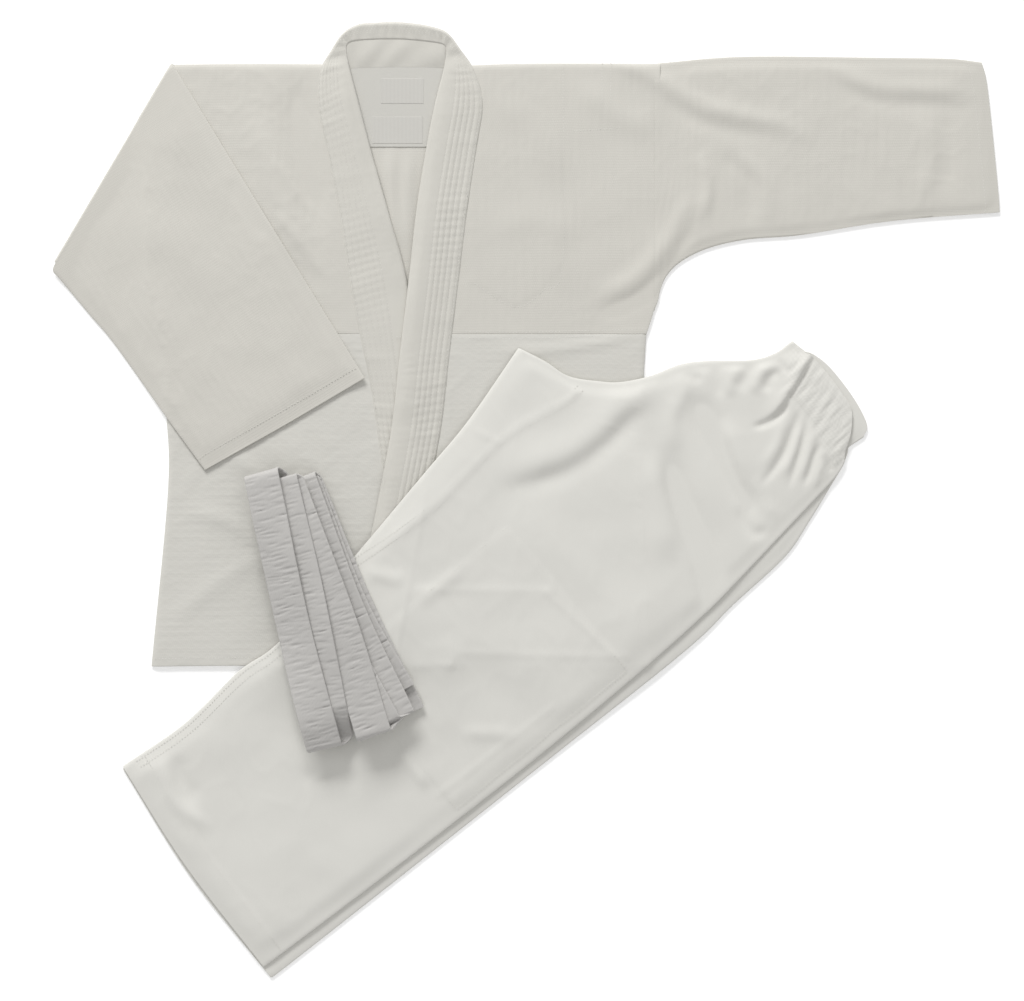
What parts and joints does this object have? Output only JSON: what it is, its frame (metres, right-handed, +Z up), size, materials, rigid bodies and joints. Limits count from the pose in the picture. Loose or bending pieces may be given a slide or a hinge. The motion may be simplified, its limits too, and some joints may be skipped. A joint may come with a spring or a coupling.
{
  "type": "martial arts uniform",
  "caption": "Judo-style uniform laid flat: wrap jacket with one sleeve folded over, trousers folded leg on leg across it and a fan-folded cloth belt on top.",
  "frame": {"origin": "middle of the whole pile's outline, on the surface that it lies on", "axes": "+Z up out of the pile, +Y from the jacket's hem towards its collar, +X towards the jacket's stretched left sleeve"},
  "size_m": [1.0866, 1.0965, 0.0413],
  "materials": {
    "rice_weave": "bleached cotton, rice-grain weave",
    "diamond_weave": "bleached cotton, diamond weave",
    "collar_twill": "cotton drill over canvas, rows of stitching",
    "lining_cotton": "plain cotton",
    "core_canvas": "canvas strip",
    "label_cloth": "woven plain patch, no lettering",
    "trouser_twill": "plain bleached cotton",
    "elastic": "woven elastic tape",
    "belt_cotton": "greyish white ribbed cotton, rows of stitching"
  },
  "bodies": {
    "jacket": {"back_body": "rice_weave", "back_skirt": "diamond_weave", "back_yoke_lining": "lining_cotton", "size_label": "label_cloth", "neck_label": "label_cloth", "right_front_body": "rice_weave", "right_front_skirt": "diamond_weave", "left_front_body": "rice_weave", "left_front_skirt": "diamond_weave", "right_lapel_cover": "collar_twill", "right_lapel_core": "core_canvas", "left_lapel_upper_cover": "collar_twill", "left_lapel_upper_core": "core_canvas", "left_lapel_lower_cover": "collar_twill", "left_lapel_lower_core": "core_canvas", "neck_band_cover": "collar_twill", "neck_band_core": "core_canvas", "left_shoulder_patch": "rice_weave", "right_shoulder_patch": "rice_weave", "left_vent_tape": "lining_cotton", "right_vent_tape": "lining_cotton", "right_underarm_gusset": "rice_weave", "right_sleeve_root_back": "rice_weave", "right_sleeve_root_front": "rice_weave"},
    "right_sleeve": {"right_sleeve_front": "rice_weave", "right_sleeve_back": "rice_weave", "right_cuff_hem": "rice_weave"},
    "left_sleeve": {"left_underarm_gusset": "rice_weave", "left_sleeve_back": "rice_weave", "left_sleeve_front": "rice_weave", "left_cuff_hem": "rice_weave"},
    "right_trouser_leg": {"right_leg_front": "trouser_twill", "right_knee_patch": "trouser_twill", "right_leg_back": "trouser_twill", "right_crotch_gusset": "trouser_twill", "right_waistband": "trouser_twill", "right_waist_elastic": "elastic"},
    "left_trouser_leg": {"left_leg_back": "trouser_twill", "left_leg_front": "trouser_twill", "left_crotch_gusset": "trouser_twill", "left_knee_patch": "trouser_twill", "left_waistband": "trouser_twill", "left_waist_elastic": "elastic"},
    "belt": {"belt_strap": "belt_cotton"}
  },
  "joints": [
    {"name": "right_sleeve_fold", "type": "hinge", "parent": "jacket", "child": "right_sleeve", "pos_m": [-0.405, 0.5, 0.0029], "axis": [-0.5087, -0.8609, 0], "range_deg": [0, 170]},
    {"name": "left_sleeve_fold", "type": "hinge", "parent": "jacket", "child": "left_sleeve", "pos_m": [0.15515, 0.4, 0.0029], "axis": [0, -1, 0], "range_deg": [0, 170]},
    {"name": "trousers_lift", "type": "slide", "parent": "jacket", "child": "right_trouser_leg", "axis": [0, 0, 1], "range_m": [0, 0.25]},
    {"name": "trousers_unfold", "type": "hinge", "parent": "right_trouser_leg", "child": "left_trouser_leg", "pos_m": [0.15, 0.1845, 0.01345], "axis": [-1, 0, 0], "range_deg": [0, 150]},
    {"name": "belt_lift", "type": "slide", "parent": "left_trouser_leg", "child": "belt", "axis": [0, 0, 1], "range_m": [0, 0.2]}
  ]
}
